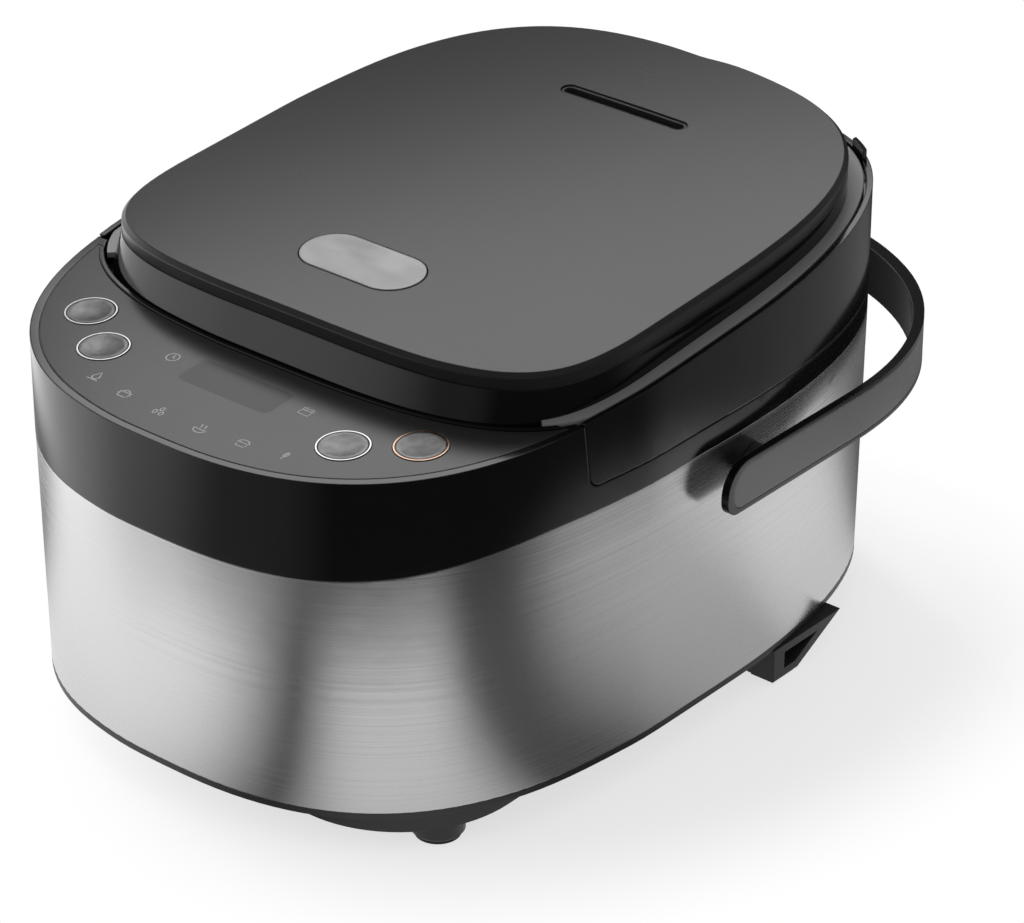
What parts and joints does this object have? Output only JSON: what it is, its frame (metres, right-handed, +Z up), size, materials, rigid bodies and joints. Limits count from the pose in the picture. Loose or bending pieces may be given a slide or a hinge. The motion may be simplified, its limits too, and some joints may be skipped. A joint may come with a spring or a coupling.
{
  "type": "rice cooker",
  "caption": "Digital rice cooker: oval brushed steel body, sloping control panel, domed hinged lid with push button and steam vent, lift-out pot and U-shaped carrying handle.",
  "frame": {"origin": "on the floor, midway between the front wall and the rearmost point of the carrying handle, on the middle plane", "axes": "+Z up; -Y is the front with the control panel; +X is on the right when the panel is faced"},
  "size_m": [0.2852, 0.387, 0.2061],
  "materials": {
    "brushed_steel": "horizontally brushed stainless steel",
    "black_gloss": "glossy black moulding",
    "panel_gloss": "glossy dark grey panel lens",
    "lid_gloss": "glossy dark grey lid top",
    "light_plastic": "light grey moulding",
    "satin_silver": "satin silver",
    "key_chrome": "bright trim ring",
    "facing_grey": "satin grey facing",
    "black_plastic": "fine-grained black moulding",
    "rubber": "soft foot pads",
    "silicone": "translucent white silicone",
    "aluminium": "cast or pressed aluminium",
    "pot_coating": "non-stick coating",
    "plain_steel": "plated steel",
    "brass_contacts": "plated contacts",
    "board": "circuit board with its parts",
    "display": "dark digit display",
    "clear_plastic": "clear light guides",
    "fuse_white": "ceramic sleeve"
  },
  "bodies": {
    "base": {"steel_band": "brushed_steel", "front_housing": "black_gloss", "rear_collar": "black_gloss", "panel_lens": "panel_gloss", "key_rings": "key_chrome", "base_pan": "black_plastic", "front_feet": "black_plastic", "rear_feet": "black_plastic", "side_feet": "black_plastic", "handle_mounts": "black_plastic", "sensor_guide": "black_plastic", "mains_inlet": "black_plastic", "board_brackets": "black_plastic", "top_deck": "black_plastic", "key_switches": "black_plastic", "foot_pads": "rubber", "heating_plate": "aluminium", "inner_well": "aluminium", "inner_pot": "pot_coating", "base_screws": "plain_steel", "hinge_pins": "plain_steel", "sensor_spring": "plain_steel", "latch_catch": "plain_steel", "heating_element": "plain_steel", "inlet_pins": "brass_contacts", "control_board": "board", "power_board": "board", "display_module": "display", "light_guides": "clear_plastic", "thermal_fuse": "fuse_white"},
    "lid": {"lid_cover": "lid_gloss", "lid_shell": "black_gloss", "lid_liner": "light_plastic", "lid_screws": "plain_steel", "inner_lid": "aluminium", "inner_lid_seal": "silicone", "steam_duct": "light_plastic", "button_springs": "plain_steel"},
    "lid_button": {"lid_button": "satin_silver"},
    "latch": {"latch_slider": "black_plastic"},
    "vent_insert": {"vent_cap": "black_plastic"},
    "handle": {"handle_frame": "black_gloss", "handle_facing": "facing_grey"},
    "thermostat": {"thermostat_sensor": "aluminium"},
    "key_1": {"panel_key_1": "satin_silver"},
    "key_2": {"panel_key_2": "satin_silver"},
    "key_3": {"panel_key_3": "satin_silver"},
    "key_4": {"panel_key_4": "satin_silver"}
  },
  "joints": [
    {"name": "lid_hinge", "type": "hinge", "parent": "base", "child": "lid", "pos_m": [0, 0.145, 0.1938], "axis": [-1, 0, 0], "range_deg": [0, 80]},
    {"name": "lid_button_press", "type": "slide", "parent": "lid", "child": "lid_button", "axis": [0, 0, -1], "range_m": [0, 0.0035], "stiffness_N_per_m": 400, "springref_m": -0.002, "deforming": ["button_springs"]},
    {"name": "latch_slide", "type": "slide", "parent": "lid", "child": "latch", "axis": [0, 1, 0], "range_m": [0, 0.0035]},
    {"name": "vent_insert_lift", "type": "slide", "parent": "lid", "child": "vent_insert", "axis": [0, 0, 1], "range_m": [0, 0.03]},
    {"name": "handle_swing", "type": "hinge", "parent": "base", "child": "handle", "pos_m": [0, 0.009, 0.1155], "axis": [1, 0, 0], "range_deg": [0, 100]},
    {"name": "thermostat_press", "type": "slide", "parent": "base", "child": "thermostat", "axis": [0, 0, -1], "range_m": [0, 0.003], "stiffness_N_per_m": 400, "springref_m": -0.002, "deforming": ["sensor_spring"]},
    {"name": "key_1_press", "type": "slide", "parent": "base", "child": "key_1", "axis": [0, 0.0678, -0.9977], "range_m": [0, 0.0008], "stiffness_N_per_m": 1200, "springref_m": -0.0003},
    {"name": "key_2_press", "type": "slide", "parent": "base", "child": "key_2", "axis": [0, 0.0678, -0.9977], "range_m": [0, 0.0008], "stiffness_N_per_m": 1200, "springref_m": -0.0003},
    {"name": "key_3_press", "type": "slide", "parent": "base", "child": "key_3", "axis": [0, 0.0678, -0.9977], "range_m": [0, 0.0008], "stiffness_N_per_m": 1200, "springref_m": -0.0003},
    {"name": "key_4_press", "type": "slide", "parent": "base", "child": "key_4", "axis": [0, 0.0678, -0.9977], "range_m": [0, 0.0008], "stiffness_N_per_m": 1200, "springref_m": -0.0003}
  ],
  "couplings": [
    {"joint": "latch_slide", "follows": "lid_button_press", "ratio": 1}
  ]
}
